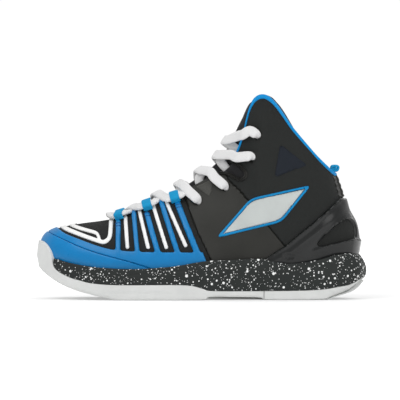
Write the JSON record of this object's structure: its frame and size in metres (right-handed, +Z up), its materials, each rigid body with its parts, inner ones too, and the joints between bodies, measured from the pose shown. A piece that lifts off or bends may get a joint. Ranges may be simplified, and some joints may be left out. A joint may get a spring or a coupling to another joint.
{
  "type": "basketball shoe",
  "caption": "Left high-top sports shoe with a padded ankle collar, crossed flat lace, ribbed forefoot overlay, moulded heel clip and a two-part rubber sole under a foam midsole.",
  "frame": {"origin": "on the ground under the middle of the shoe's box", "axes": "-X towards the toe, +X towards the heel, -Y lateral (outer) side, +Y medial (inner) side, +Z up"},
  "size_m": [0.3056, 0.1102, 0.1883],
  "materials": {
    "rubber_white": "matt moulded rubber, slightly translucent edge",
    "foam_speckled": "matt painted foam with random white paint speckles",
    "foam_grey": "open foam",
    "shank_plastic": "woven-look moulded plate",
    "stiffener": "pressed fibre sheet",
    "board": "stitched fibre board",
    "insole_foam": "knit top on moulded foam",
    "mesh_black": "engineered mesh",
    "synthetic_grey": "smooth satin synthetic with fine grain",
    "collar_fabric": "fine diagonal knit",
    "lining_black": "brushed knit",
    "film_blue": "fused film, satin",
    "guard_blue": "moulded rubberised film, satin",
    "print_white": "raised print",
    "clip_black": "satin moulded clip",
    "mesh_open": "open hexagonal mesh",
    "trim_black": "ribbed moulded trim",
    "binding_blue": "folded woven tape",
    "webbing_blue": "woven webbing",
    "lace_white": "flat woven lace",
    "aglet_clear": "clear film tip",
    "badge_silver": "pale satin film",
    "badge_blue": "satin film"
  },
  "bodies": {
    "shoe": {"aglet_lateral": "aglet_clear", "aglet_medial": "aglet_clear", "ankle_mesh_lateral": "mesh_open", "ankle_mesh_medial": "mesh_open", "badge_border_lateral": "badge_blue", "badge_border_medial": "badge_blue", "clip_window_lateral": "mesh_open", "clip_window_medial": "mesh_open", "collar_binding": "binding_blue", "collar_foam": "foam_grey", "collar_lining": "lining_black", "eyestay_patch_lateral": "mesh_open", "eyestay_patch_medial": "mesh_open", "forefoot_cushion": "foam_grey", "heel_clip": "clip_black", "heel_counter": "stiffener", "heel_cushion": "foam_grey", "heel_strip": "trim_black", "lace": "lace_white", "lace_loop_lateral_1": "webbing_blue", "lace_loop_lateral_2": "webbing_blue", "lace_loop_lateral_3": "webbing_blue", "lace_loop_medial_1": "webbing_blue", "lace_loop_medial_2": "webbing_blue", "lace_loop_medial_3": "webbing_blue", "lateral_collar_panel": "collar_fabric", "lateral_quarter": "synthetic_grey", "medial_collar_panel": "collar_fabric", "medial_quarter": "synthetic_grey", "midsole": "foam_speckled", "notch_trim_lateral": "trim_black", "notch_trim_medial": "trim_black", "outsole_forefoot": "rubber_white", "outsole_heel": "rubber_white", "rib_cage": "film_blue", "shank_plate": "shank_plastic", "side_badge_lateral": "badge_silver", "side_badge_medial": "badge_silver", "strobel_board": "board", "toe_guard": "guard_blue", "toe_puff": "stiffener", "toe_stripe": "print_white", "vamp": "mesh_black", "vamp_lining": "lining_black", "white_bar_lateral_1": "print_white", "white_bar_lateral_2": "print_white", "white_bar_lateral_3": "print_white", "white_bar_lateral_4": "print_white", "white_bar_medial_1": "print_white", "white_bar_medial_2": "print_white", "white_bar_medial_3": "print_white", "white_bar_medial_4": "print_white"},
    "tongue": {"tongue": "mesh_black", "tongue_lining": "lining_black"},
    "insole": {"insole": "insole_foam"},
    "pull_tab": {"pull_tab": "webbing_blue"}
  },
  "joints": [
    {"name": "tongue_hinge", "type": "hinge", "parent": "shoe", "child": "tongue", "pos_m": [-0.0858, 0.003, 0.059], "axis": [0, 1, 0], "range_deg": [0, 10], "stiffness_Nm_per_rad": 2},
    {"name": "insole_lift", "type": "hinge", "parent": "shoe", "child": "insole", "pos_m": [-0.1375, 0.007, 0.033], "axis": [0, -1, 0], "range_deg": [0, 6]},
    {"name": "pull_tab_swing", "type": "hinge", "parent": "shoe", "child": "pull_tab", "pos_m": [0.1256, 0.001, 0.1191], "axis": [0, 1, 0], "range_deg": [-30, 30], "stiffness_Nm_per_rad": 0.02}
  ]
}
